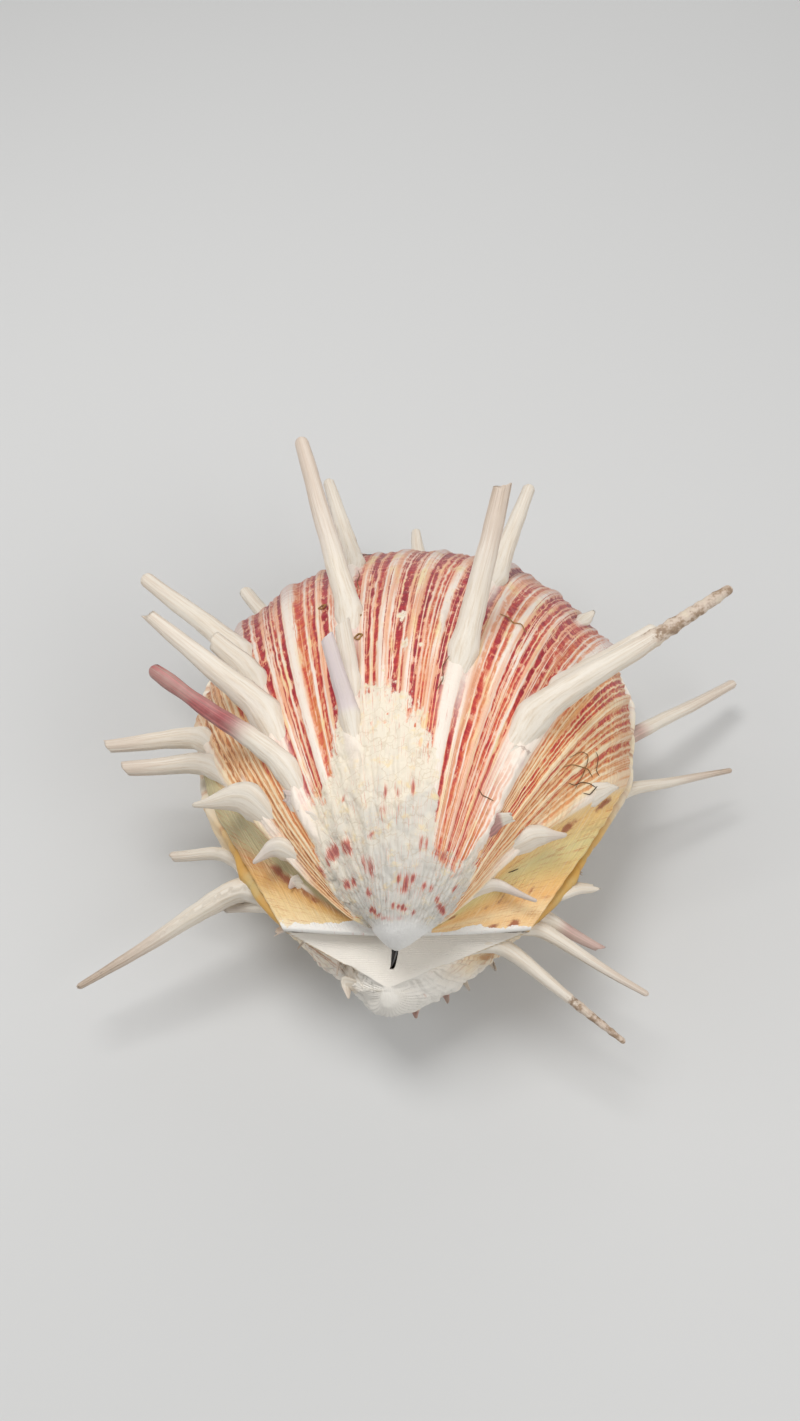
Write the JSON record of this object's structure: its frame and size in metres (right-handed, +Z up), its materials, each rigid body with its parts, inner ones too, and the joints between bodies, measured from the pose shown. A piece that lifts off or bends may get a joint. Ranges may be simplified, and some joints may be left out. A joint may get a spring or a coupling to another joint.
{
  "type": "spiny oyster shell",
  "caption": "Closed spiny oyster shell: a domed, ribbed upper valve and a deeper lower valve, long blunt spines along the ribs, and a flat scar where it was cut off its rock.",
  "frame": {"origin": "middle of the flat scar under the lower valve, where the shell was cut off its rock", "axes": "+Z up out of the scar through the dome, +Y from the hinge towards the far margin, +X to the right seen from the hinge"},
  "size_m": [0.1399, 0.1335, 0.0723],
  "materials": {
    "upper_valve": "satin",
    "lower_valve": "satin",
    "ligament": "satin"
  },
  "bodies": {
    "root": {"upper_valve": "upper_valve", "lower_valve": "lower_valve", "hinge_ligament": "ligament"}
  },
  "joints": []
}
